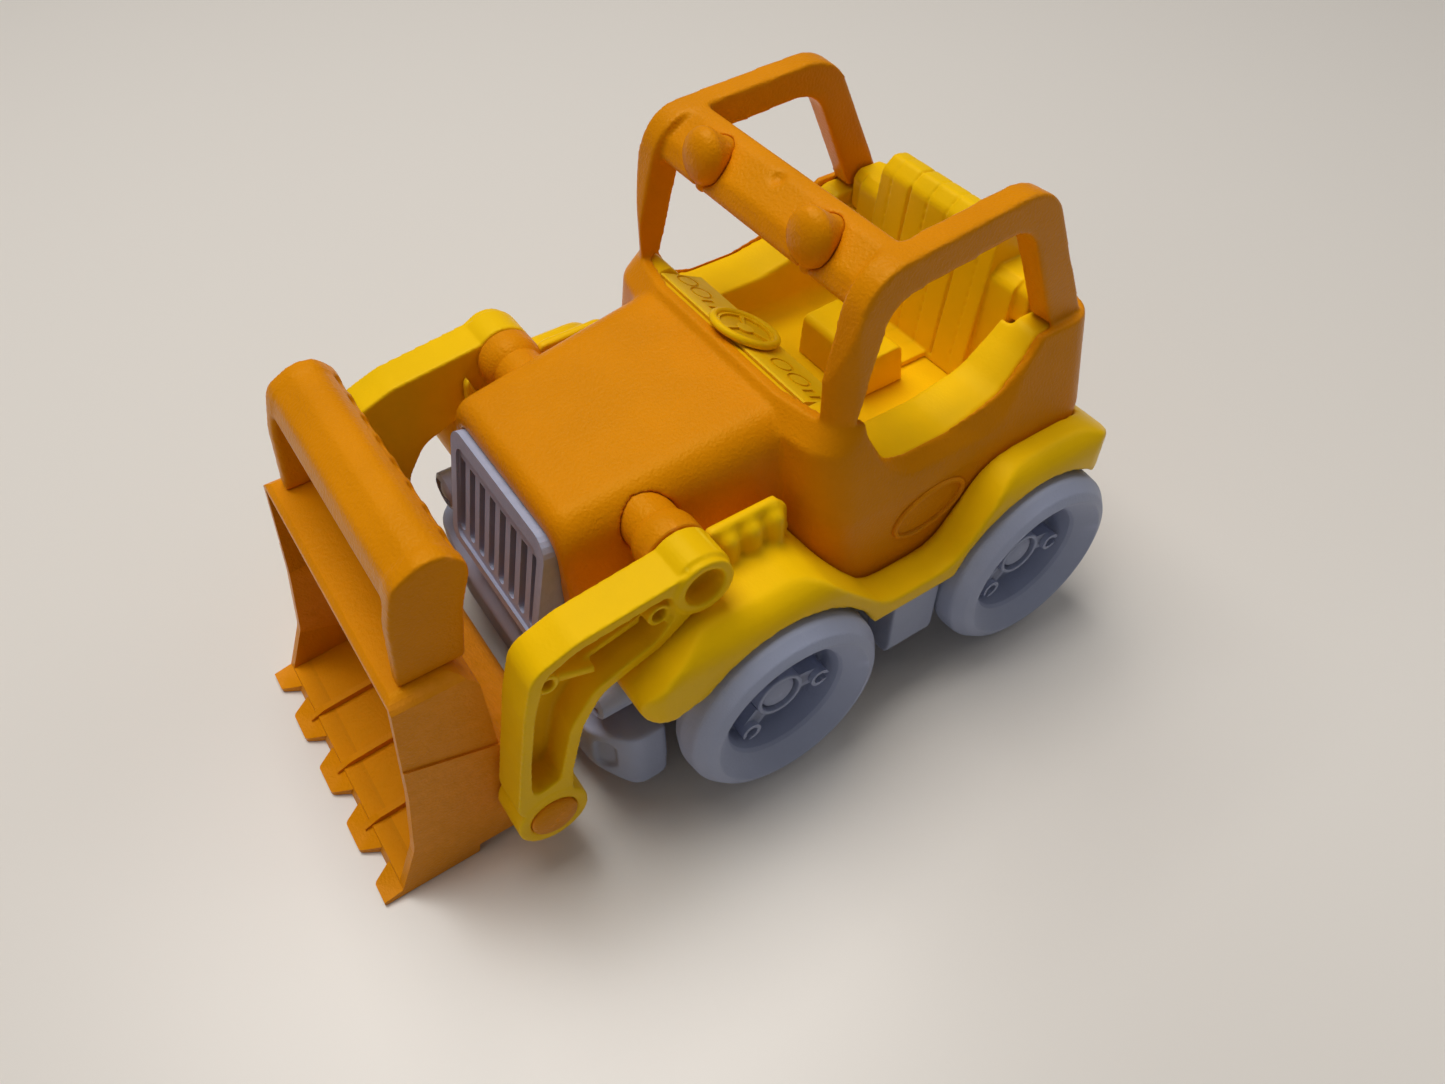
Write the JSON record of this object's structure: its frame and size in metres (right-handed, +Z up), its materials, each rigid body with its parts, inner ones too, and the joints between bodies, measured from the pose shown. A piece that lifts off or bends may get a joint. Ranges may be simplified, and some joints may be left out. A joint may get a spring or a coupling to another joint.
{
  "type": "toy wheeled loader",
  "caption": "Moulded plastic toy wheeled loader with an open cab and roll cage, free-rolling wheels, swinging loader arms and a tilting toothed bucket.",
  "frame": {"origin": "on the floor, under the middle of the toy's overall box", "axes": "+Z up; -Y towards the bucket; +Y towards the rear; +X to the driver's left"},
  "size_m": [0.117, 0.1891, 0.1162],
  "materials": {
    "body_orange": "satin moulded plastic",
    "frame_yellow": "satin moulded plastic",
    "trim_gray": "satin moulded plastic"
  },
  "bodies": {
    "vehicle": {"body_shell": "body_orange", "roll_cage": "body_orange", "roof_lamp_left": "body_orange", "roof_lamp_right": "body_orange", "trunnion_left": "body_orange", "trunnion_right": "body_orange", "fender_frame": "frame_yellow", "cab_tub": "frame_yellow", "dashboard": "frame_yellow", "steering_wheel": "frame_yellow", "seat": "frame_yellow", "grille": "trim_gray", "headlight_left": "trim_gray", "headlight_right": "trim_gray", "bumper": "trim_gray", "side_step_left": "trim_gray", "side_step_right": "trim_gray", "chassis": "trim_gray"},
    "front_wheels": {"front_axle": "trim_gray", "wheel_front_left": "trim_gray", "wheel_front_right": "trim_gray"},
    "rear_wheels": {"rear_axle": "trim_gray", "wheel_rear_left": "trim_gray", "wheel_rear_right": "trim_gray"},
    "loader_arms": {"arm_left": "frame_yellow", "arm_right": "frame_yellow"},
    "bucket_unit": {"bucket": "body_orange", "bucket_handle": "body_orange", "tilt_pin_left": "body_orange", "tilt_pin_right": "body_orange"}
  },
  "joints": [
    {"name": "front_roll", "type": "hinge", "parent": "vehicle", "child": "front_wheels", "pos_m": [0, -0.004, 0.0248], "axis": [1, 0, 0], "continuous": true},
    {"name": "rear_roll", "type": "hinge", "parent": "vehicle", "child": "rear_wheels", "pos_m": [0, 0.068, 0.0248], "axis": [1, 0, 0], "continuous": true},
    {"name": "arm_swing", "type": "hinge", "parent": "vehicle", "child": "loader_arms", "pos_m": [0, -0.0189, 0.0663], "axis": [-1, 0, 0], "range_deg": [0, 70]},
    {"name": "bucket_tilt", "type": "hinge", "parent": "loader_arms", "child": "bucket_unit", "pos_m": [0, -0.0574, 0.0177], "axis": [-1, 0, 0], "range_deg": [-42, 12]}
  ]
}
